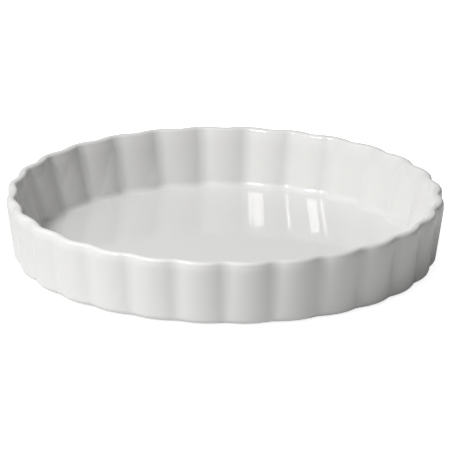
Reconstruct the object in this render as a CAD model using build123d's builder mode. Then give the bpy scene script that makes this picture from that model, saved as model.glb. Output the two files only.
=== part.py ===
"""Fluted quiche dish of glazed porcelain.

The dish is one fired piece of clay, the porcelain body, under two films of fused glaze.
The glaze coat runs over the inside, the lip, the fluted wall and the heel, up to the foot ring.
The base glaze is the round patch inside the foot ring. The ring itself is wiped bare before firing.

Millimetres, +Z up. The origin is the centre of the foot ring's resting face.
"""
from build123d import *
import os
from collections import namedtuple
from math import atan2, cos, hypot, radians, tan

# Overall sizes of the glazed dish, to the middle of the flutes
dish_height = 43.5
rim_radius = 140.0
wall_flare = 5.6
floor_thickness = 4.6

# The wall is thinnest at the lip. Inside, it leans out more than outside, and most of all near the lip.
lip_thickness = 5.4
inner_flare = 8.2
lip_flare = 2.8
lip_flare_height = 7.0
lip_flare_round = 30.0

# Flutes: each is a broad arc and a tight arc, tangent to each other all the way round.
# Outside, the lobes are broad and the valleys between them tight. Inside, it is the other way about.
flute_count = 28
rim_flute_depth = 2.5
heel_flute_depth = 1.9
rim_valley_radius = 16.0
heel_valley_radius = 14.0
inner_rim_flute_depth = 2.2
inner_floor_flute_depth = 1.9
inner_crease_radius = 13.5

# Rounded edges of the glazed dish. Near its top the outer wall eases inwards, on a broad rounding.
# The lip itself is round but for a narrow flat along its top.
lip_ease = 1.0
lip_ease_height = 5.0
lip_ease_round = 18.0
lip_flat = 0.4
heel_round = 4.0
floor_round = 5.5

# Glaze, and the bare foot ring that stands below it
glaze_thickness = 0.35
foot_height = 1.3
foot_inset = 16.4
foot_width = 5.0
foot_round = 0.5

# How far off a height an edge's middle may be and still count as lying at it
level_tolerance = 0.01

floor_height = foot_height + floor_thickness
heel_radius = rim_radius - wall_flare
foot_radius = heel_radius - foot_inset
shoulder_height = dish_height - lip_ease_height
inner_shoulder_height = dish_height - lip_flare_height
inner_rim_radius = rim_radius - lip_thickness
inner_shoulder_radius = inner_rim_radius - lip_flare
inner_floor_radius = inner_shoulder_radius - inner_flare
flute_pitch = 360 / flute_count
half_pitch = radians(flute_pitch / 2)

# A fluted outline of the wall at one height. tight_lobes says whether its tight arcs are the lobes.
Outline = namedtuple("Outline", "height radius flute_depth tight_radius tight_lobes")


def outline_at(height, low, high):
    """The outline that a straight wall from the low outline to the high one has at a height."""
    share = (height - low.height) / (high.height - low.height)
    blended = [start + share * (end - start) for start, end in zip(low[1:4], high[1:4])]
    return Outline(height, *blended, low.tight_lobes)


outer_heel = Outline(foot_height, heel_radius, heel_flute_depth, heel_valley_radius, False)
outer_rim = Outline(dish_height, rim_radius, rim_flute_depth, rim_valley_radius, False)
inner_floor = Outline(floor_height, inner_floor_radius, inner_floor_flute_depth, inner_crease_radius, True)
inner_rim = Outline(dish_height, inner_rim_radius, inner_rim_flute_depth, inner_crease_radius, True)
inner_blend = outline_at(inner_shoulder_height, inner_floor, inner_rim)
inner_shoulder = inner_blend._replace(radius=inner_shoulder_radius)

# The lip's edges are rounded alike. What their roundings take of its width depends on how far each turns.
outer_ease = lip_ease - wall_flare * lip_ease_height / (dish_height - foot_height)
inner_lip_turn = atan2(lip_flare_height, lip_flare)
outer_lip_turn = atan2(lip_ease_height, outer_ease)
lip_round = (lip_thickness - lip_ease - lip_flat) / (tan(inner_lip_turn / 2) + tan(outer_lip_turn / 2))


def flute_arcs(outline):
    """Radii of a flute's lobe and valley arcs, and how far their centres lie from the dish's axis.

    The tight arc is known. The broad one follows from the triangle of the dish's axis and both
    centres, because tangent arcs have their centres as far apart as their radii add up to.
    """
    crest = outline.radius + outline.flute_depth / 2
    trough = outline.radius - outline.flute_depth / 2
    if outline.tight_lobes:
        lobe = outline.tight_radius
        lobe_centre = crest - lobe
        reach = lobe_centre * cos(half_pitch)
        spread = trough**2 + lobe_centre**2 - 2 * reach * trough - lobe**2
        valley = spread / (2 * (reach + lobe - trough))
        valley_centre = trough + valley
    else:
        valley = outline.tight_radius
        valley_centre = trough + valley
        reach = valley_centre * cos(half_pitch)
        spread = crest**2 + valley_centre**2 - 2 * reach * crest - valley**2
        lobe = spread / (2 * (crest + valley - reach))
        lobe_centre = crest - lobe
    return lobe, lobe_centre, valley, valley_centre


def fluted_face(outline, growth):
    """The flat face inside an outline whose arcs are all moved outwards by growth."""
    lobe, lobe_centre, valley, valley_centre = flute_arcs(outline)
    to_valley = Vector(valley_centre, 0).rotate(Axis.Z, flute_pitch / 2) - Vector(lobe_centre, 0)
    end = Vector(lobe_centre, 0) + to_valley.normalized() * (lobe + growth)
    start = Vector(end.X, -end.Y)
    crest = Vector(lobe_centre + lobe + growth, 0)
    trough = Vector(valley_centre - valley + growth, 0).rotate(Axis.Z, flute_pitch / 2)
    next_start = start.rotate(Axis.Z, flute_pitch)
    with BuildSketch(Plane.XY.offset(outline.height)) as face:
        with BuildLine():
            for index in range(flute_count):
                turn = (index + 1 / 2) * flute_pitch
                for arc in ((start, crest, end), (end, trough, next_start)):
                    ThreePointArc(*(point.rotate(Axis.Z, turn) for point in arc))
        make_face()
    return face.sketch


def fluted_dish(inset):
    """The dish without its foot ring, with every surface set back into the clay by inset."""
    underside = foot_height + inset
    floor = floor_height - inset
    top = dish_height - inset
    level_inset = inset * hypot(dish_height - foot_height, wall_flare) / (dish_height - foot_height)
    outer = []
    for height in (underside, shoulder_height, top):
        ease = lip_ease * max(height - shoulder_height, 0) / lip_ease_height
        outer.append(fluted_face(outline_at(height, outer_heel, outer_rim), -level_inset - ease))
    inner_outlines = (
        outline_at(floor, inner_floor, inner_shoulder),
        inner_shoulder,
        outline_at(top, inner_shoulder, inner_rim),
    )
    inner = [fluted_face(outline, level_inset) for outline in inner_outlines]
    roundings = (
        (shoulder_height, lip_ease_round),
        (inner_shoulder_height, lip_flare_round - inset),
        (top, lip_round - inset),
        (floor, floor_round + inset),
        (underside, heel_round - inset),
    )
    with BuildPart() as dish:
        loft(outer, ruled=True)
        loft(inner, ruled=True, mode=Mode.SUBTRACT)
        for height, radius in roundings:
            low, high = height - level_tolerance, height + level_tolerance
            fillet(dish.edges().filter_by_position(Axis.Z, low, high), radius)
    return dish.part


with BuildPart() as porcelain_body:
    add(fluted_dish(glaze_thickness))
    with BuildSketch(Plane.XY):
        Circle(foot_radius)
        Circle(foot_radius - foot_width, mode=Mode.SUBTRACT)
    extrude(amount=foot_height + glaze_thickness)
    fillet(porcelain_body.edges().group_by(Axis.Z)[0], foot_round)

with BuildPart() as base_glaze:
    with BuildSketch(Plane.XY.offset(foot_height)):
        Circle(foot_radius - foot_width)
    extrude(amount=glaze_thickness)

with BuildPart() as glaze_coat:
    add(fluted_dish(0))
    add(base_glaze.part, mode=Mode.SUBTRACT)
    add(porcelain_body.part, mode=Mode.SUBTRACT)

os.makedirs("parts", exist_ok=True)

porcelain_body.part.label = "porcelain_body"
export_step(porcelain_body.part, "parts/porcelain_body.step")

glaze_coat.part.label = "glaze_coat"
export_step(glaze_coat.part, "parts/glaze_coat.step")

base_glaze.part.label = "base_glaze"
export_step(base_glaze.part, "parts/base_glaze.step")
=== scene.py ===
# %% [markdown]
# # A fluted quiche dish in white glaze
#
# The real dish is one pressed piece of porcelain, dipped in white glaze and fired standing on a bare
# foot ring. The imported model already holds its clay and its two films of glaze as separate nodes.
# This lesson keeps the clay and makes the glaze again as finer surfaces, because a gloss finish shows
# every facet of a coarse one.

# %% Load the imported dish
import math

import bpy
import numpy as np
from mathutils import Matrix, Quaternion, Vector


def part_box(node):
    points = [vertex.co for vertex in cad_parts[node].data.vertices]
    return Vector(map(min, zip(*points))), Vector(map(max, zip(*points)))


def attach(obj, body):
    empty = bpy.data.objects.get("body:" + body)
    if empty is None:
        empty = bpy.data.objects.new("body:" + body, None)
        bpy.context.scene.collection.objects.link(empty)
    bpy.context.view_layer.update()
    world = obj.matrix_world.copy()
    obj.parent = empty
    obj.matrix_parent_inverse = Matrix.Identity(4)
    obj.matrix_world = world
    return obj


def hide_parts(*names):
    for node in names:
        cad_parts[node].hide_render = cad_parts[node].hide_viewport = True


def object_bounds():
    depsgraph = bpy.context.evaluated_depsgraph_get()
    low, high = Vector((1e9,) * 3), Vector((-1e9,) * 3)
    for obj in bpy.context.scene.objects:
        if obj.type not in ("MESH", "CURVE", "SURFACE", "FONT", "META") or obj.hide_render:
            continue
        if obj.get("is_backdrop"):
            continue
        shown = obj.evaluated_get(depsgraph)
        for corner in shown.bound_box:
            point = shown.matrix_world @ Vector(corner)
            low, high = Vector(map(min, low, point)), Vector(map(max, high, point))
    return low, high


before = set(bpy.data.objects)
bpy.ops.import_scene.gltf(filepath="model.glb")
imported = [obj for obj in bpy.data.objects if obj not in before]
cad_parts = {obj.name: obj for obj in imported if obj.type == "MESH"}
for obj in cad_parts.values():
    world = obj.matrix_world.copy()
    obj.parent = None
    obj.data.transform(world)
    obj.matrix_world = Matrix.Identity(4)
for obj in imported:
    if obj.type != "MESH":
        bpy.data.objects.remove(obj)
cad_box = [list(corner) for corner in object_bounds()]
MM = 0.001


def in_mm(length, digits=2):
    """A length in rounded millimetres, to print."""
    return round(float(length) / MM, digits)


print("CAD box in millimetres:", [[in_mm(value) for value in corner] for corner in cad_box])

# %% [markdown]
# ## Sizes
#
# Every surface below follows from the dish's own sizes, in metres. They are the sizes that its solids
# were built to, so the glaze lands on the clay. The cell ends with a check of the two heights that the
# frame can tell: the top of the lip and the glazed underside.

# %% Name the sizes of the dish
DISH_HEIGHT = 43.5 * MM
RIM_RADIUS = 140.0 * MM
WALL_FLARE = 5.6 * MM
LIP_THICKNESS = 5.4 * MM
INNER_FLARE = 8.2 * MM
LIP_FLARE = 2.8 * MM
LIP_FLARE_HEIGHT = 7.0 * MM
LIP_FLARE_ROUND = 30.0 * MM
LIP_EASE = 1.0 * MM
LIP_EASE_HEIGHT = 5.0 * MM
LIP_EASE_ROUND = 18.0 * MM
LIP_FLAT = 0.4 * MM
FLOOR_THICKNESS = 4.6 * MM
FOOT_HEIGHT = 1.3 * MM
FOOT_RADIUS = 118.0 * MM
FOOT_WIDTH = 5.0 * MM
GLAZE_THICKNESS = 0.35 * MM
HEEL_ROUND = 4.0 * MM
FLOOR_ROUND = 5.5 * MM

FLUTE_COUNT = 28
RIM_FLUTE_DEPTH = 2.5 * MM
HEEL_FLUTE_DEPTH = 1.9 * MM
RIM_VALLEY_RADIUS = 16.0 * MM
HEEL_VALLEY_RADIUS = 14.0 * MM
INNER_RIM_FLUTE_DEPTH = 2.2 * MM
INNER_FLOOR_FLUTE_DEPTH = 1.9 * MM
INNER_CREASE_RADIUS = 13.5 * MM

FLUTE_PITCH = 2 * math.pi / FLUTE_COUNT
HALF_PITCH = FLUTE_PITCH / 2
WALL_HEIGHT = DISH_HEIGHT - FOOT_HEIGHT
FLOOR_HEIGHT = FOOT_HEIGHT + FLOOR_THICKNESS
SHOULDER_HEIGHT = DISH_HEIGHT - LIP_FLARE_HEIGHT
EASE_HEIGHT = DISH_HEIGHT - LIP_EASE_HEIGHT
HEEL_RADIUS = RIM_RADIUS - WALL_FLARE
INNER_RIM_RADIUS = RIM_RADIUS - LIP_THICKNESS
SHOULDER_RADIUS = INNER_RIM_RADIUS - LIP_FLARE
FLOOR_RADIUS = SHOULDER_RADIUS - INNER_FLARE

# The lip's two edges are rounded alike. What that takes of its width depends on how far each turns.
INNER_LIP_TURN = math.atan2(LIP_FLARE_HEIGHT, LIP_FLARE)
OUTER_LIP_TURN = math.atan2(LIP_EASE_HEIGHT, LIP_EASE - WALL_FLARE * LIP_EASE_HEIGHT / WALL_HEIGHT)
LIP_TURNS = math.tan(INNER_LIP_TURN / 2) + math.tan(OUTER_LIP_TURN / 2)
LIP_ROUND = (LIP_THICKNESS - LIP_EASE - LIP_FLAT) / LIP_TURNS

glaze_low, glaze_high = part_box("glaze_coat")
print("lip off the frame's by", in_mm(glaze_high.z - DISH_HEIGHT, 3), "mm")
print("underside off the frame's by", in_mm(glaze_low.z - FOOT_HEIGHT, 3), "mm")

# %% [markdown]
# ## The fluted outline
#
# Seen from above, the wall is a ring of arcs. Outside, broad lobes meet in tight valleys. Inside it is
# the other way about: broad bulges meet in tight creases, which lie behind the lobes. A sine wave would
# be shorter to write, but its lobes and valleys are alike, and on the dish they plainly aren't. Two
# tangent arcs a flute give the real form, and each has a formula for its distance from the axis.

# %% Work out a flute's arcs, and the distance from the axis to its outline
def flute_arcs(radius, depth, tight, tight_lobes):
    """Radii of the lobe and valley arcs of a flute, and the distances of their centres from the axis.

    Tangent arcs have centres as far apart as their radii add up to. That, the pitch and the tight
    arc's radius give the broad arc's radius by the law of cosines.
    """
    crest, trough = radius + depth / 2, radius - depth / 2
    if tight_lobes:
        lobe, lobe_centre = tight, crest - tight
        reach = lobe_centre * math.cos(HALF_PITCH)
        spread = trough**2 + lobe_centre**2 - 2 * reach * trough - lobe**2
        valley = spread / (2 * (reach + lobe - trough))
        return lobe, lobe_centre, valley, trough + valley
    valley, valley_centre = tight, trough + tight
    reach = valley_centre * math.cos(HALF_PITCH)
    spread = crest**2 + valley_centre**2 - 2 * reach * crest - valley**2
    lobe = spread / (2 * (crest + valley - reach))
    return lobe, crest - lobe, valley, valley_centre


def fluted_radius(azimuth, outline, growth):
    """Distance from the axis to an outline at each azimuth, with the outline moved out by growth.

    Each azimuth is folded into half a flute, from its lobe (0) to its valley (half a pitch). There the
    ray from the axis meets the lobe's circle on its far side, or the valley's circle on its near side.
    """
    lobe, lobe_centre, valley, valley_centre = flute_arcs(*outline)
    across = valley_centre * math.cos(HALF_PITCH) - lobe_centre
    along = valley_centre * math.sin(HALF_PITCH)
    reach = (lobe + growth) / math.hypot(across, along)
    joint = math.atan2(reach * along, lobe_centre + reach * across)
    from_lobe = np.abs(azimuth % FLUTE_PITCH - HALF_PITCH)
    from_valley = HALF_PITCH - from_lobe
    lobe_chord = np.maximum((lobe + growth) ** 2 - (lobe_centre * np.sin(from_lobe)) ** 2, 0)
    valley_chord = np.maximum((valley - growth) ** 2 - (valley_centre * np.sin(from_valley)) ** 2, 0)
    on_lobe = lobe_centre * np.cos(from_lobe) + np.sqrt(lobe_chord)
    on_valley = valley_centre * np.cos(from_valley) - np.sqrt(valley_chord)
    return np.where(from_lobe < joint, on_lobe, on_valley)


# An outline is its mean radius, its flutes' depth, its tight arcs' radius and whether those are lobes
INNER_HEIGHTS = (FLOOR_HEIGHT, DISH_HEIGHT)
INNER_DEPTHS = (INNER_FLOOR_FLUTE_DEPTH, INNER_RIM_FLUTE_DEPTH)
SHOULDER_DEPTH = np.interp(SHOULDER_HEIGHT, INNER_HEIGHTS, INNER_DEPTHS)
OUTER_HEEL = (HEEL_RADIUS, HEEL_FLUTE_DEPTH, HEEL_VALLEY_RADIUS, False)
OUTER_RIM = (RIM_RADIUS, RIM_FLUTE_DEPTH, RIM_VALLEY_RADIUS, False)
INNER_FLOOR = (FLOOR_RADIUS, INNER_FLOOR_FLUTE_DEPTH, INNER_CREASE_RADIUS, True)
INNER_SHOULDER = (SHOULDER_RADIUS, SHOULDER_DEPTH, INNER_CREASE_RADIUS, True)
INNER_RIM = (INNER_RIM_RADIUS, INNER_RIM_FLUTE_DEPTH, INNER_CREASE_RADIUS, True)

for title, outline in (("heel", OUTER_HEEL), ("rim", OUTER_RIM), ("inner rim", INNER_RIM)):
    lobe, _, valley, _ = flute_arcs(*outline)
    print(f"{title}: lobes of {in_mm(lobe, 1)} mm and valleys of {in_mm(valley, 1)} mm radius")

# %% [markdown]
# ## Arcs and straight walls
#
# Cut through at one azimuth, the dish shows a line of straight walls and of arcs that touch the walls
# they join, so the reflections run through without a kink. A bevel modifier could round the edges of a
# plain wall, but it holds a bevel's width, and these roundings each hold a radius. So every arc is
# worked out, for all azimuths at once, as rows of radius and height.
#
# Smooth shading blends the directions of neighbouring faces across each row. Beside a rounding, that
# would bend the reflections in a whole straight wall. So a straight stretch gets one more row close to
# each of its ends, and the blending stays between that row and the rounding.

# %% Write the functions for arcs and straight walls
STEPS_PER_FLUTE = 32
END_ROW_SHARES = (0.015, 0.985)

# Directions from an arc's centre
OUTWARDS, UPWARDS, INWARDS, DOWNWARDS = 0.0, math.pi / 2, math.pi, -math.pi / 2

azimuth = np.arange(FLUTE_COUNT * STEPS_PER_FLUTE) * FLUTE_PITCH / STEPS_PER_FLUTE


def arc(centre, size, start, end, rows):
    """Rows round an arc: centre + size (cos a, sin a), where a goes evenly from start to end."""
    shares = np.linspace(0, 1, rows + 1)
    angles = [start + share * (end - start) for share in shares]
    return [(centre[0] + size * np.cos(angle), centre[1] + size * np.sin(angle)) for angle in angles]


def between(start, end, rows):
    """Rows along a straight line: start + share (end - start). The outer shares are END_ROW_SHARES."""
    shares = np.linspace(0, 1, rows + 1)
    shares[[0, -1]] = END_ROW_SHARES
    return [tuple(a + share * (b - a) for a, b in zip(start, end)) for share in shares]


def foot_centre(radius, level, lean, size):
    """Centre of the arc that rounds the foot of a wall into the level surface below it.

    It lies the arc's size above the level, and back from the foot by that times the tangent of half
    the angle that the arc turns through.
    """
    return radius - size * np.tan((math.pi / 2 - lean) / 2), level + size


def bend_centre(radius, height, lean_below, lean_above, size, side):
    """Centre of the arc that rounds a bend in a wall. Its side is 1 if it lies outwards, or -1.

    The arc's reach below the bend is its size times the tangent of half the angle that it turns
    through. From there, its centre lies square to the wall, at its size.
    """
    reach = size * np.tan(side * (lean_above - lean_below) / 2)
    centre_radius = radius - reach * np.sin(lean_below) + side * size * np.cos(lean_below)
    centre_height = height - reach * np.cos(lean_below) - side * size * np.sin(lean_below)
    return centre_radius, centre_height


print("azimuths round the dish:", len(azimuth))

# %% [markdown]
# ## The skin, from the floor over the lip to the heel
#
# At each azimuth the skin of the dish is one line: rounded corner, wall, lip, wall and heel. Inside, the
# wall leans out more than outside, and most of all near the lip. The glaze needs this line twice, for
# its bright side and for the side on the clay, so one function returns it for any depth.

# %% Trace the skin as rows of radius and height
# Steps along each stretch of the line. The glazed side has most of them in double number.
CORNER_ROWS, WALL_ROWS, LIP_ROWS, EASE_ROWS, HEEL_ROWS = 4, 1, 4, 2, 3
GLAZED_DETAIL, CLAY_DETAIL = 2, 1


def skin_rows(inset, detail):
    """Rows of (radius, height) from the floor's corner to the heel, set back into the clay by inset.

    Walls are straight between their outlines, so a wall's radius is linear in height. Two arcs round
    the lip, one from the flaring wall to the top and one from the top to the easing wall. Each has
    its centre where the wall and the top, both moved into the clay by the arc's radius, cross.
    """
    top, floor, underside = DISH_HEIGHT - inset, FLOOR_HEIGHT - inset, FOOT_HEIGHT + inset
    inner_outlines = (INNER_FLOOR, INNER_SHOULDER, INNER_RIM)
    outer_outlines = (OUTER_HEEL, OUTER_RIM)
    inner_low, shoulder, inner_high = (fluted_radius(azimuth, outline, inset) for outline in inner_outlines)
    outer_low, outer_high = (fluted_radius(azimuth, outline, -inset) for outline in outer_outlines)
    wall_slope = (shoulder - inner_low) / (SHOULDER_HEIGHT - FLOOR_HEIGHT)
    flare_slope = (inner_high - shoulder) / LIP_FLARE_HEIGHT
    outer_slope = (outer_high - outer_low) / WALL_HEIGHT
    ease_slope = outer_slope - LIP_EASE / LIP_EASE_HEIGHT
    slopes = (wall_slope, flare_slope, ease_slope, outer_slope)
    wall_lean, flare_lean, ease_lean, outer_lean = (np.arctan(slope) for slope in slopes)
    eased = outer_low + outer_slope * (EASE_HEIGHT - FOOT_HEIGHT)

    corner = FLOOR_ROUND + inset
    inner_foot = inner_low + wall_slope * (floor - FLOOR_HEIGHT)
    corner_centre = foot_centre(inner_foot, floor, wall_lean, corner)
    corner_rows = arc(corner_centre, corner, DOWNWARDS, -wall_lean, CORNER_ROWS * detail)

    flare = LIP_FLARE_ROUND - inset
    flare_centre = bend_centre(shoulder, SHOULDER_HEIGHT, wall_lean, flare_lean, flare, 1)
    flare_rows = arc(flare_centre, flare, INWARDS - wall_lean, INWARDS - flare_lean, EASE_ROWS * detail)

    lip = LIP_ROUND - inset
    level = top - lip
    inner_centre = inner_high + flare_slope * (level - DISH_HEIGHT) + lip / np.cos(flare_lean)
    outer_centre = eased + ease_slope * (level - EASE_HEIGHT) - lip / np.cos(ease_lean)
    lip_rows = arc((inner_centre, level), lip, INWARDS - flare_lean, UPWARDS, LIP_ROWS * detail)
    lip_rows += arc((outer_centre, level), lip, UPWARDS, -ease_lean, LIP_ROWS * detail)

    ease_centre = bend_centre(eased, EASE_HEIGHT, outer_lean, ease_lean, LIP_EASE_ROUND, -1)
    ease_rows = arc(ease_centre, LIP_EASE_ROUND, -ease_lean, -outer_lean, EASE_ROWS * detail)

    heel = HEEL_ROUND - inset
    outer_foot = outer_low + outer_slope * (underside - FOOT_HEIGHT)
    heel_centre = foot_centre(outer_foot, underside, outer_lean, heel)
    heel_rows = arc(heel_centre, heel, -outer_lean, DOWNWARDS, HEEL_ROWS * detail)

    wall = between(corner_rows[-1], flare_rows[0], WALL_ROWS * detail)
    flaring_wall = between(flare_rows[-1], lip_rows[0], WALL_ROWS)
    easing_wall = between(lip_rows[-1], ease_rows[0], WALL_ROWS)
    outer_wall = between(ease_rows[-1], heel_rows[0], WALL_ROWS * detail)
    inner_rows = corner_rows + wall + flare_rows + flaring_wall
    return inner_rows + lip_rows + easing_wall + ease_rows + outer_wall + heel_rows


skin = skin_rows(0.0, GLAZED_DETAIL)
top_rows = [radius for radius, height in skin if np.allclose(height, DISH_HEIGHT)]
print("rows from the floor's corner to the heel:", len(skin))
print("width across the lobes in millimetres:", in_mm(2 * max(radius.max() for radius, _ in skin)))
print("narrowest flat along the lip in millimetres:", in_mm((top_rows[1] - top_rows[0]).min()))

# %% [markdown]
# ## Rings of points
#
# Each row becomes a ring of points. A ring needs about nine hundred points at the rim, and the same
# number near the middle of the floor would pinch into slivers. So rings have half as many each time
# their radius halves.

# %% Write the functions for rings
# A disc's rings lie a step apart. Out to the even radius, they all have the fewest points.
RING_STEP = 8 * MM
FEWEST_POINTS = 56
EVEN_RADIUS = 24 * MM


def ring(radius, height, count):
    """Points round the axis at count even azimuths a: (r cos a, r sin a, height).

    Radius and height are one number each, or an array with one for every azimuth of the rim.
    """
    step = len(azimuth) // count
    turn = azimuth[::step]
    radius = np.broadcast_to(radius, azimuth.shape)[::step]
    height = np.broadcast_to(height, azimuth.shape)[::step]
    return np.stack((radius * np.cos(turn), radius * np.sin(turn), height), axis=1)


def disc_rings(edge_radius, height):
    """Rings of a flat disc from its middle outwards, with twice the points each time the radius doubles."""
    rings = [ring(0.0, height, len(azimuth))[:1]]
    for radius in np.arange(RING_STEP, edge_radius, RING_STEP):
        doublings = max(0, math.ceil(math.log2(radius / EVEN_RADIUS)))
        rings.append(ring(radius, height, FEWEST_POINTS * 2**doublings))
    return rings


print("points round a ring: from", FEWEST_POINTS, "to", len(azimuth))

# %% [markdown]
# ## A closed shell through the rings
#
# The film is closed: it runs from the middle of the floor over the lip to the foot, and back along the
# clay. Bands of triangles join each ring to the next, also where one has fewer points, and a single
# point closes each end. A thin sheet with a Solidify modifier would be shorter to write, but it would
# miss the round bead in which the film ends at the foot.

# %% Write the functions that join rings into a closed mesh
def band(first, first_count, second, second_count):
    """Triangles that join two rings whose points are numbered from first and from second.

    The finer ring has a whole number of points, the ratio, for each of the coarser ring's. Each side
    of the finer ring goes to the coarser ring's nearest point, and each side of the coarser ring to
    the finer ring's point midway.
    """
    rings = [(first, first_count), (second, second_count)]
    turned = second_count > first_count
    (fine, fine_count), (coarse, coarse_count) = reversed(rings) if turned else rings
    ratio = fine_count // coarse_count
    side = np.arange(fine_count)
    nearest = (2 * side + 1 + ratio) // (2 * ratio) % coarse_count
    narrow = np.stack((fine + side, coarse + nearest, fine + (side + 1) % fine_count), axis=1)
    gap = np.arange(coarse_count if coarse_count > 1 else 0)
    midway = fine + gap * ratio + ratio // 2
    broad = np.stack((coarse + gap, coarse + (gap + 1) % coarse_count, midway), axis=1)
    triangles = np.concatenate((narrow, broad))
    return triangles[:, ::-1] if turned else triangles


def shell(name, rings):
    """An object whose closed mesh runs through the rings, from the point at one end to that at the other."""
    counts = [len(points) for points in rings]
    starts = np.cumsum([0] + counts[:-1])
    pairs = zip(starts, counts, starts[1:], counts[1:])
    triangles = np.concatenate([band(*pair) for pair in pairs])
    mesh = bpy.data.meshes.new(name)
    mesh.from_pydata(np.concatenate(rings).tolist(), [], triangles.tolist())
    mesh.shade_smooth()
    piece = bpy.data.objects.new(name, mesh)
    bpy.context.scene.collection.objects.link(piece)
    print(f"{name}: {len(rings)} rings, {len(mesh.vertices)} points, {len(triangles)} triangles")
    return piece


halving_band = band(0, len(azimuth), len(azimuth), len(azimuth) // 2)
print("triangles from a full ring to one with half its points:", len(halving_band))

# %% [markdown]
# ## The glaze coat
#
# The coat covers everything but the foot ring and what lies inside it. On the underside it ends in a
# small bead against the ring, where the glaze was wiped off before firing and then drew back. The side
# that touches the clay is never seen, so it has about half the rows.

# %% Make the glaze coat
UNDERSIDE_ROWS, BEAD_ROWS = 4, 4

# One more ring of the floor lies this far from the corner's arc, and keeps the floor's shading flat
CORNER_GAP = 0.2 * MM

rim_points = len(azimuth)
underside_end = (FOOT_RADIUS + GLAZE_THICKNESS, FOOT_HEIGHT)
bead_centre = (FOOT_RADIUS + GLAZE_THICKNESS, FOOT_HEIGHT + GLAZE_THICKNESS)
clay_underside = (FOOT_RADIUS, FOOT_HEIGHT + GLAZE_THICKNESS)
clay_skin = skin_rows(GLAZE_THICKNESS, CLAY_DETAIL)[::-1]

coat_rows = skin + between(skin[-1], underside_end, UNDERSIDE_ROWS)
coat_rows += arc(bead_centre, GLAZE_THICKNESS, DOWNWARDS, -INWARDS, BEAD_ROWS)
clay_rows = between(clay_underside, clay_skin[0], UNDERSIDE_ROWS) + clay_skin

glazed_rings = disc_rings(FLOOR_RADIUS - FLOOR_ROUND, FLOOR_HEIGHT)
glazed_rings.append(ring(skin[0][0] - CORNER_GAP, FLOOR_HEIGHT, rim_points))
glazed_rings += [ring(radius, height, rim_points) for radius, height in coat_rows]
clay_rings = [ring(radius, height, rim_points) for radius, height in clay_rows]
clay_rings += disc_rings(FLOOR_RADIUS - FLOOR_ROUND, FLOOR_HEIGHT - GLAZE_THICKNESS)[::-1]

glaze = shell("glaze", glazed_rings + clay_rings)
glazed_points = sum(len(points) for points in glazed_rings)

# %% [markdown]
# ## The glaze inside the foot ring
#
# The underside is glazed inside the ring too, and wiped off the ring itself. That leaves a separate
# round patch, as thick as the coat, with a bead all round. It is made of rings too, and half the points
# of the rim's rings are enough for those of its edge.

# %% Make the patch of glaze on the base
PATCH_RADIUS = FOOT_RADIUS - FOOT_WIDTH
patch_top = FOOT_HEIGHT + GLAZE_THICKNESS
patch_bead_centre = (PATCH_RADIUS - GLAZE_THICKNESS, patch_top)
patch_bead = arc(patch_bead_centre, GLAZE_THICKNESS, OUTWARDS, DOWNWARDS, BEAD_ROWS)

patch_clay_rings = disc_rings(PATCH_RADIUS, patch_top)
patch_edge_rings = [ring(radius, height, rim_points // 2) for radius, height in patch_bead]
patch_glazed_rings = disc_rings(PATCH_RADIUS - RING_STEP / 2, FOOT_HEIGHT)[::-1]
patch = shell("base_patch", patch_clay_rings + patch_edge_rings + patch_glazed_rings)
patch_glazed_points = sum(len(points) for points in patch_glazed_rings)

# %% [markdown]
# ## Waves left by the making
#
# Clay warps a little as it dries and fires, and glaze flows a little before it sets. Nobody sees the
# twentieth of a millimetre itself, but a gloss surface shows it: the edges of a reflected window are
# not quite ruled. A sum of sine waves in random directions, drawn from a fixed seed, moves the skin
# along its normals. It only ever moves it inwards, so the dish stays within its packed size.

# %% Press soft waves into the glazed side
WAVE_DEPTH = 0.05 * MM
LEAST_PRESS_SHARE = 0.2
WAVE_COUNT = 14
WAVE_LENGTHS = (26 * MM, 95 * MM)
WAVE_SEED = 28

draw = np.random.default_rng(WAVE_SEED)
wave_heading = draw.normal(size=(WAVE_COUNT, 3))
wave_heading /= np.linalg.norm(wave_heading, axis=1, keepdims=True)
wave_length = draw.uniform(*WAVE_LENGTHS, size=WAVE_COUNT)
wave_start = draw.uniform(0, 2 * math.pi, size=WAVE_COUNT)


def mesh_points(piece):
    """The piece's points as an array of rows."""
    points = np.empty(len(piece.data.vertices) * 3)
    piece.data.vertices.foreach_get("co", points)
    return points.reshape(-1, 3)


def wave_share(points):
    """A smooth field up to 1: sines along random headings, longer ones higher, squeezed by tanh.

    It never falls below LEAST_PRESS_SHARE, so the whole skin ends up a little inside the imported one.
    """
    phase = points @ (wave_heading / wave_length[:, None]).T * 2 * math.pi + wave_start
    height = np.sin(phase) @ wave_length / np.linalg.norm(wave_length)
    return LEAST_PRESS_SHARE + (1 - LEAST_PRESS_SHARE) * (1 + np.tanh(height)) / 2


def press_waves(piece, glazed):
    """Moves the points that glazed picks against their normals, by up to WAVE_DEPTH."""
    points, normals = mesh_points(piece), np.empty(len(piece.data.vertices) * 3)
    piece.data.vertex_normals.foreach_get("vector", normals)
    press = WAVE_DEPTH * wave_share(points[glazed])
    points[glazed] -= press[:, None] * normals.reshape(-1, 3)[glazed]
    piece.data.vertices.foreach_set("co", points.ravel())
    piece.data.update()
    print(f"{piece.name}: pressed in by {in_mm(press.min(), 3)} to {in_mm(press.max(), 3)} mm")


press_waves(glaze, slice(0, glazed_points))
press_waves(patch, slice(len(patch.data.vertices) - patch_glazed_points, None))

# %% [markdown]
# ## Where the glaze is thick and thin
#
# Molten glaze runs off edges and gathers in hollows. So it is thin on the lip and on the backs of the
# flutes, where the warm clay shows through a little, and thick in the floor's corner and in the creases,
# where it turns cooler. An artist could paint such an attribute by hand. Here a formula of the point's
# place is enough, and the material reads it by name.

# %% Store the glaze's depth at each point
LIP_THINNING = 2.2 * MM
CORNER_POOL = 4.0 * MM
CREASE_SHARE, CORNER_SHARE = 0.5, 0.9


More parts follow.
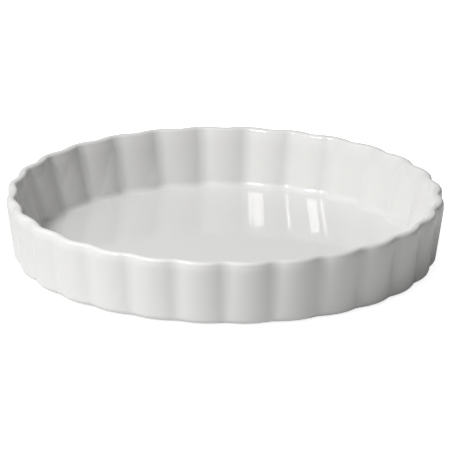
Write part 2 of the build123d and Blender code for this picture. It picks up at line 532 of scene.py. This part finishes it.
def glaze_depth(points):
    """From -1 (thin) to 1 (thick), out of the height below the lip, the corner's nearness and the fold.

    The fold is cos(28 azimuth), 1 in an outer valley. It counts in full on the outer face, backwards
    on the inner face, and fades out below the wall.
    """
    x, y, z = points.T
    radius, fold = np.hypot(x, y), np.cos(FLUTE_COUNT * np.arctan2(y, x))
    inner_heights = (FLOOR_HEIGHT, SHOULDER_HEIGHT, DISH_HEIGHT)
    inside = np.interp(z, inner_heights, (FLOOR_RADIUS, SHOULDER_RADIUS, INNER_RIM_RADIUS))
    outside = np.interp(z, (FOOT_HEIGHT, DISH_HEIGHT), (HEEL_RADIUS, RIM_RADIUS))
    side = np.clip((2 * radius - inside - outside) / (outside - inside), -1, 1)
    on_wall = np.clip((z - FOOT_HEIGHT) / HEEL_ROUND, 0, 1) * (radius > FLOOR_RADIUS - FLOOR_ROUND)
    lip = np.exp(-(DISH_HEIGHT - z) / LIP_THINNING)
    corner_gap = np.hypot(radius - FLOOR_RADIUS, z - FLOOR_HEIGHT)
    corner = np.exp(-((corner_gap / CORNER_POOL) ** 2))
    return np.clip(CREASE_SHARE * side * fold * on_wall + CORNER_SHARE * corner - lip, -1, 1)


for piece in (glaze, patch):
    depth = glaze_depth(mesh_points(piece))
    piece.data.attributes.new("glaze_depth", "FLOAT", "POINT").data.foreach_set("value", depth)
    print(piece.name, "depth from", round(float(depth.min()), 2), "to", round(float(depth.max()), 2))

# %% [markdown]
# ## Tools for materials
#
# Every material below is a small graph of nodes. It could be laid out by hand in the editor, but a
# script says what each node is for. One function makes a node, joins what comes into it and places it.
# A few more make the kinds that come up again and again: a sum, a noise, a change of range, a ramp of
# colours and the shader that ends a fired surface.

# %% Write the functions that build materials
FIRED_IOR = 1.54
FULL_RANGE = (0.0, 1.0)


def node(tree, kind, place, inputs=None, **settings):
    """A node of a kind, at a place in the editor, with its inputs and settings filled in."""
    made = tree.nodes.new(kind)
    made.location = place
    for name, value in settings.items():
        setattr(made, name, value)
    for name, value in (inputs or {}).items():
        if isinstance(value, bpy.types.NodeSocket):
            tree.links.new(value, made.inputs[name])
        else:
            made.inputs[name].default_value = value
    return made


def calculate(tree, place, operation, *values):
    """The result of an operation on values, each a number or what another node gives."""
    return node(tree, "ShaderNodeMath", place, dict(enumerate(values)), operation=operation).outputs[0]


def noise(tree, place, position, scale, detail):
    """Soft noise from 0 to 1 at each position, with about as many blobs to the metre as its scale."""
    inputs = {"Vector": position, "Scale": scale, "Detail": detail}
    return node(tree, "ShaderNodeTexNoise", place, inputs).outputs["Fac"]


def remap(tree, place, value, given, wanted):
    """A value moved from the given range to the wanted one, and kept within it."""
    inputs = {"Value": value, "From Min": given[0], "From Max": given[1]}
    inputs |= {"To Min": wanted[0], "To Max": wanted[1]}
    return node(tree, "ShaderNodeMapRange", place, inputs).outputs["Result"]


def ramp(tree, place, share, colours):
    """Two colours or more, evenly spaced and blended, picked by a share of the way through them."""
    made = node(tree, "ShaderNodeValToRGB", place, {"Fac": share})
    stops = made.color_ramp.elements
    stops[0].color, stops[1].color = colours[0], colours[-1]
    for number, colour in enumerate(colours[1:-1], 1):
        stops.new(number / (len(colours) - 1)).color = colour
    return made.outputs["Color"]


def new_material(name):
    """An empty node material and its tree."""
    material = bpy.data.materials.new(name)
    material.use_nodes = True
    material.node_tree.nodes.clear()
    return material, material.node_tree


def finish_with(tree, shader):
    """Joins the shader to the material's output."""
    node(tree, "ShaderNodeOutputMaterial", (500, 0), {"Surface": shader})


def finish_fired(tree, colour, roughness, grain, strength, depth):
    """Ends a material in the shader of a fired surface, with a bump of a strength and depth by its grain."""
    relief = {"Height": grain, "Strength": strength, "Distance": depth}
    normal = node(tree, "ShaderNodeBump", (-550, -650), relief).outputs["Normal"]
    inputs = {"Base Color": colour, "Roughness": roughness, "IOR": FIRED_IOR, "Normal": normal}
    shader = node(tree, "ShaderNodeBsdfPrincipled", (200, 0), inputs)
    finish_with(tree, shader.outputs["BSDF"])


print("index of refraction of glaze and clay:", FIRED_IOR)

# %% [markdown]
# ## The glaze's finish
#
# White glaze is a layer of clear glass over white clay. One Principled shader does both: its base
# colour is the clay seen through the glass, and its specular layer is the glass's surface. The colour
# leans warm where the glaze is thin and cool where it is thick, drifts a little over the dish, and has
# a few faint specks of iron. A fine orange-peel bump keeps the gloss from looking like plastic.

# %% Build the glaze material
THIN_GLAZE = (0.720, 0.715, 0.702, 1)
PLAIN_GLAZE = (0.714, 0.711, 0.698, 1)
THICK_GLAZE = (0.692, 0.694, 0.686, 1)
GLAZE_COLOURS = (THIN_GLAZE, PLAIN_GLAZE, THICK_GLAZE)
DEPTH_RANGE = (-1.0, 1.0)
DRIFT_SCALE, DRIFT_DETAIL, DRIFT = 22.0, 3.0, 0.9

# Specks fall in some of the cells of a Voronoi pattern, and fill a small part of those
SPECK = (0.62, 0.58, 0.50, 1)
CELL_SCALE, SPECK_RADIUS = 95.0, 0.035
SPECKED_SHARE, SPECK_SHARE = 0.06, 0.35

GLOSS_SCALE, GLOSS_DETAIL, GLOSS_RANGE = 60.0, 4.0, (0.02, 0.05)
PEEL_SCALE, PEEL_DETAIL, PEEL_STRENGTH = 160.0, 2.0, 1.0
PEEL_HEIGHT = 0.003 * MM

# A mix node names its sockets for numbers and for colours alike, so the colours' go by their numbers
MIX_FIRST, MIX_SECOND, MIX_RESULT = 6, 7, 2

glaze_finish, tree = new_material("white_glaze_gloss")
place = node(tree, "ShaderNodeTexCoord", (-1400, 0)).outputs["Object"]
depth = node(tree, "ShaderNodeAttribute", (-1400, 300), attribute_name="glaze_depth").outputs["Fac"]
drift = noise(tree, (-1150, 300), place, DRIFT_SCALE, DRIFT_DETAIL)
uneven = calculate(tree, (-950, 300), "MULTIPLY_ADD", drift, DRIFT, -DRIFT / 2)
thickness = calculate(tree, (-750, 300), "ADD", depth, uneven)
tone = remap(tree, (-550, 300), thickness, DEPTH_RANGE, FULL_RANGE)
plain = ramp(tree, (-350, 300), tone, GLAZE_COLOURS)

cells = node(tree, "ShaderNodeTexVoronoi", (-1150, 0), {"Vector": place, "Scale": CELL_SCALE}).outputs
chance = node(tree, "ShaderNodeSeparateColor", (-950, -120), {"Color": cells["Color"]}).outputs["Red"]
near = calculate(tree, (-950, 60), "LESS_THAN", cells["Distance"], SPECK_RADIUS)
rare = calculate(tree, (-750, -120), "LESS_THAN", chance, SPECKED_SHARE)
speck = calculate(tree, (-550, 0), "MULTIPLY", near, rare)
faint = calculate(tree, (-350, 0), "MULTIPLY", speck, SPECK_SHARE)
mixed = {"Factor": faint, MIX_FIRST: plain, MIX_SECOND: SPECK}
specked = node(tree, "ShaderNodeMix", (-50, 200), mixed, data_type="RGBA").outputs[MIX_RESULT]

smears = noise(tree, (-1150, -350), place, GLOSS_SCALE, GLOSS_DETAIL)
gloss = remap(tree, (-550, -350), smears, FULL_RANGE, GLOSS_RANGE)
peel = noise(tree, (-1150, -650), place, PEEL_SCALE, PEEL_DETAIL)
finish_fired(tree, specked, gloss, peel, PEEL_STRENGTH, PEEL_HEIGHT)
print("glaze material:", len(tree.nodes), "nodes")

# %% [markdown]
# ## The bare clay of the foot ring
#
# The ring is the only clay that shows. Fired porcelain without glaze is matt, a little warmer than the
# glaze, and as fine in grain as an eggshell. It also holds dust from the kiln shelf, so it is mottled.
# A picture of clay could be wrapped round it, but noise of two sizes gives both and has no seam.

# %% Build the clay material
CLEAN_CLAY = (0.80, 0.78, 0.73, 1)
DUSTY_CLAY = (0.70, 0.665, 0.60, 1)
DUST_SCALE, DUST_DETAIL, DUST_RANGE = 85.0, 6.0, (0.45, 0.8)
GRAIN_SCALE, GRAIN_DETAIL, GRAIN_STRENGTH = 2600.0, 3.0, 0.6
GRAIN_HEIGHT = 0.05 * MM
CLAY_ROUGHNESS = (0.75, 0.95)

clay_finish, tree = new_material("bare_porcelain")
place = node(tree, "ShaderNodeTexCoord", (-1400, 0)).outputs["Object"]
mottle = noise(tree, (-1150, 200), place, DUST_SCALE, DUST_DETAIL)
dust = remap(tree, (-950, 200), mottle, DUST_RANGE, FULL_RANGE)
mottled = ramp(tree, (-750, 200), dust, (CLEAN_CLAY, DUSTY_CLAY))
grain = noise(tree, (-1150, -300), place, GRAIN_SCALE, GRAIN_DETAIL)
rough = remap(tree, (-550, 0), grain, FULL_RANGE, CLAY_ROUGHNESS)
finish_fired(tree, mottled, rough, grain, GRAIN_STRENGTH, GRAIN_HEIGHT)
print("clay material:", len(tree.nodes), "nodes")

# %% [markdown]
# ## Join the pieces to the frame
#
# Each film rides on the dish's only body and stands for its own node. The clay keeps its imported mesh
# and only takes the new material.

# %% Put the materials on, and tell the frame what each piece is
for piece, cad_node in ((glaze, "glaze_coat"), (patch, "base_glaze")):
    piece.data.materials.append(glaze_finish)
    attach(piece, "root")
    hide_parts(cad_node)

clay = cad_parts["porcelain_body"]
clay.data.materials.clear()
clay.data.materials.append(clay_finish)

# %% [markdown]
# ## The table
#
# A white dish on white paper shows only by its shading. The table is a plain white surface that
# throws light back up at the wall. Rays from the camera also see it glow, so that it reads as white
# where it is fully lit and still darkens where the dish keeps the light off it. Rays that the glaze
# mirrors or a glass passes on see only a little of that glow, because near the foot the wall mirrors
# just the part of the table that it shades.

# %% Lay the table under the dish
WHITE = (1, 1, 1, 1)
TABLE_HALF = 3.0
TABLE_CORNERS = ((-1, -1, 0), (1, -1, 0), (1, 1, 0), (-1, 1, 0))
TABLE_WHITE = (0.74, 0.74, 0.74, 1)
TABLE_GLOW = 0.86
MIRRORED_GLOW_SHARE = 0.08

table_mesh = bpy.data.meshes.new("table")
table_mesh.from_pydata((np.array(TABLE_CORNERS) * TABLE_HALF).tolist(), [], [(0, 1, 2, 3)])
table = bpy.data.objects.new("table", table_mesh)
bpy.context.scene.collection.objects.link(table)
table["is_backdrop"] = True

table_finish, tree = new_material("white_paper")
paper = node(tree, "ShaderNodeBsdfDiffuse", (-400, 0), {"Color": TABLE_WHITE}).outputs[0]
glow = node(tree, "ShaderNodeEmission", (-400, -200), {"Strength": TABLE_GLOW}).outputs[0]
glowing = node(tree, "ShaderNodeAddShader", (-200, -100), {0: paper, 1: glow}).outputs[0]
ray = node(tree, "ShaderNodeLightPath", (-600, 300)).outputs
bounced = calculate(tree, (-400, 300), "MAXIMUM", ray["Is Glossy Ray"], ray["Is Transmission Ray"])
dimmed = calculate(tree, (-200, 300), "MULTIPLY", bounced, MIRRORED_GLOW_SHARE)
seen = calculate(tree, (0, 300), "MAXIMUM", ray["Is Camera Ray"], dimmed)
surface = node(tree, "ShaderNodeMixShader", (200, 0), {0: seen, 1: paper, 2: glowing})
finish_with(tree, surface.outputs[0])
table_mesh.materials.append(table_finish)
print("table:", 2 * TABLE_HALF, "m across")

# %% [markdown]
# ## The window
#
# The photographed dish stands below one small high window on its left. The window is an area light:
# small enough to keep the left wall's short shadow on the floor crisp. The floor and each bulge of the
# back wall together mirror it as a bright pane. How high the window stands follows from the lean of the
# wall, which turns its light down to the floor.

# %% Hang the window
WINDOW_TURN = math.radians(-50)
WINDOW_RISE = math.radians(47.5)
WINDOW_DISTANCE = 1.2
WINDOW_WIDTH, WINDOW_HEIGHT = 0.28, 0.23
WINDOW_WATTS = 8.2


def heading(turn, rise):
    """The direction at a turn round from the camera's side (left is negative) and a rise."""
    return Vector((math.sin(turn) * math.cos(rise), -math.cos(turn) * math.cos(rise), math.sin(rise)))


window_data = bpy.data.lights.new("window", "AREA")
window_data.shape = "RECTANGLE"
window_data.size, window_data.size_y = WINDOW_WIDTH, WINDOW_HEIGHT
window_data.energy = WINDOW_WATTS
window = bpy.data.objects.new("window", window_data)
bpy.context.scene.collection.objects.link(window)
towards_window = heading(WINDOW_TURN, WINDOW_RISE)
window.location = towards_window * WINDOW_DISTANCE
window.rotation_mode = "QUATERNION"
window.rotation_quaternion = towards_window.to_track_quat("Z", "Y")
radiance = WINDOW_WATTS / (math.pi * WINDOW_WIDTH * WINDOW_HEIGHT)
print("window radiance:", round(radiance, 1), "where white is 1")

# %% [markdown]
# ## The room
#
# The sides that the window misses are lit by a pale room. Lamps or a photographed sky could stand for
# it. Here it is the world: four broad soft glows, two on the left, one high in front and one behind, and
# almost nothing on the right. Each is a power of the cosine of the angle to its middle, which costs
# nothing to render. The camera itself sees white.

# %% Light the room
# Each glow is its turn and rise in degrees, and its level
ROOM_GLOWS = ((-45, 22, 0.6), (-60, 58, 1.7), (0, 58, 0.3), (180, 22, 0.62))
GLOW_FOCUS = 6.0

room = bpy.data.worlds.new("room")
bpy.context.scene.world = room
room.use_nodes = True
tree = room.node_tree
tree.nodes.clear()
towards_light = node(tree, "ShaderNodeTexCoord", (-1700, 0)).outputs["Generated"]
total = 0.0
for number, (turn, rise, level) in enumerate(ROOM_GLOWS):
    row = -200 * number
    inputs = {0: towards_light, 1: heading(math.radians(turn), math.radians(rise))}
    facing = node(tree, "ShaderNodeVectorMath", (-1500, row), inputs, operation="DOT_PRODUCT")
    ahead = calculate(tree, (-1300, row), "MAXIMUM", facing.outputs["Value"], 0.0)
    glow = calculate(tree, (-1100, row), "POWER", ahead, GLOW_FOCUS)
    total = calculate(tree, (-900 + 150 * number, row), "MULTIPLY_ADD", glow, level, total)
walls = node(tree, "ShaderNodeBackground", (-250, 0), {"Color": WHITE, "Strength": total}).outputs[0]
backdrop = node(tree, "ShaderNodeBackground", (-250, -200), {"Color": WHITE, "Strength": 1.0}).outputs[0]
ray = node(tree, "ShaderNodeLightPath", (-500, 300)).outputs
sky = node(tree, "ShaderNodeMixShader", (0, 0), {0: ray["Is Camera Ray"], 1: walls, 2: backdrop})
node(tree, "ShaderNodeOutputWorld", (200, 0), {"Surface": sky.outputs[0]})
print("room:", len(ROOM_GLOWS), "glows,", len(tree.nodes), "nodes")

# %% [markdown]
# ## The camera
#
# The photograph was taken from far away with a long lens: the near and far sides of the rim are almost
# equally wide. The numbers come from fitting the outline of the rim, the lip and the heel. The camera
# looks at the middle of the rim, then tilts down a little further and rolls by half a degree.

# %% Set up the camera
CAMERA_TURN = math.radians(-0.3)
CAMERA_RISE = math.radians(18.38)
CAMERA_DISTANCE = 3.038
CAMERA_TILT = math.radians(0.406)
CAMERA_ROLL = math.radians(0.544)
CAMERA_LENS = 379.2

camera = bpy.data.objects.new("camera", bpy.data.cameras.new("camera"))
camera.data.lens = CAMERA_LENS
bpy.context.scene.collection.objects.link(camera)
bpy.context.scene.camera = camera
towards_camera = heading(CAMERA_TURN, CAMERA_RISE)
camera.location = Vector((0, 0, DISH_HEIGHT)) + towards_camera * CAMERA_DISTANCE
camera.rotation_mode = "QUATERNION"
aim = towards_camera.to_track_quat("Z", "Y")
camera.rotation_quaternion = aim @ Quaternion((1, 0, 0), -CAMERA_TILT) @ Quaternion((0, 0, 1), CAMERA_ROLL)
bpy.context.scene.view_settings.view_transform = "Standard"
print("camera at", [round(value, 3) for value in camera.location], "with a lens of", CAMERA_LENS, "mm")

# %% [markdown]
# ## Check the size, and finish
#
# The dressed dish has to stay inside the box of the imported one. The cell prints how far past that box it
# reaches.

# %% Print how far past the CAD box the dish reaches, and finish
visual_box = [list(corner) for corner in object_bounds()]
growth = [cad_box[0][i] - visual_box[0][i] for i in range(3)]
growth += [visual_box[1][i] - cad_box[1][i] for i in range(3)]
print("past the CAD box, in millimetres:", [in_mm(value, 3) for value in growth])
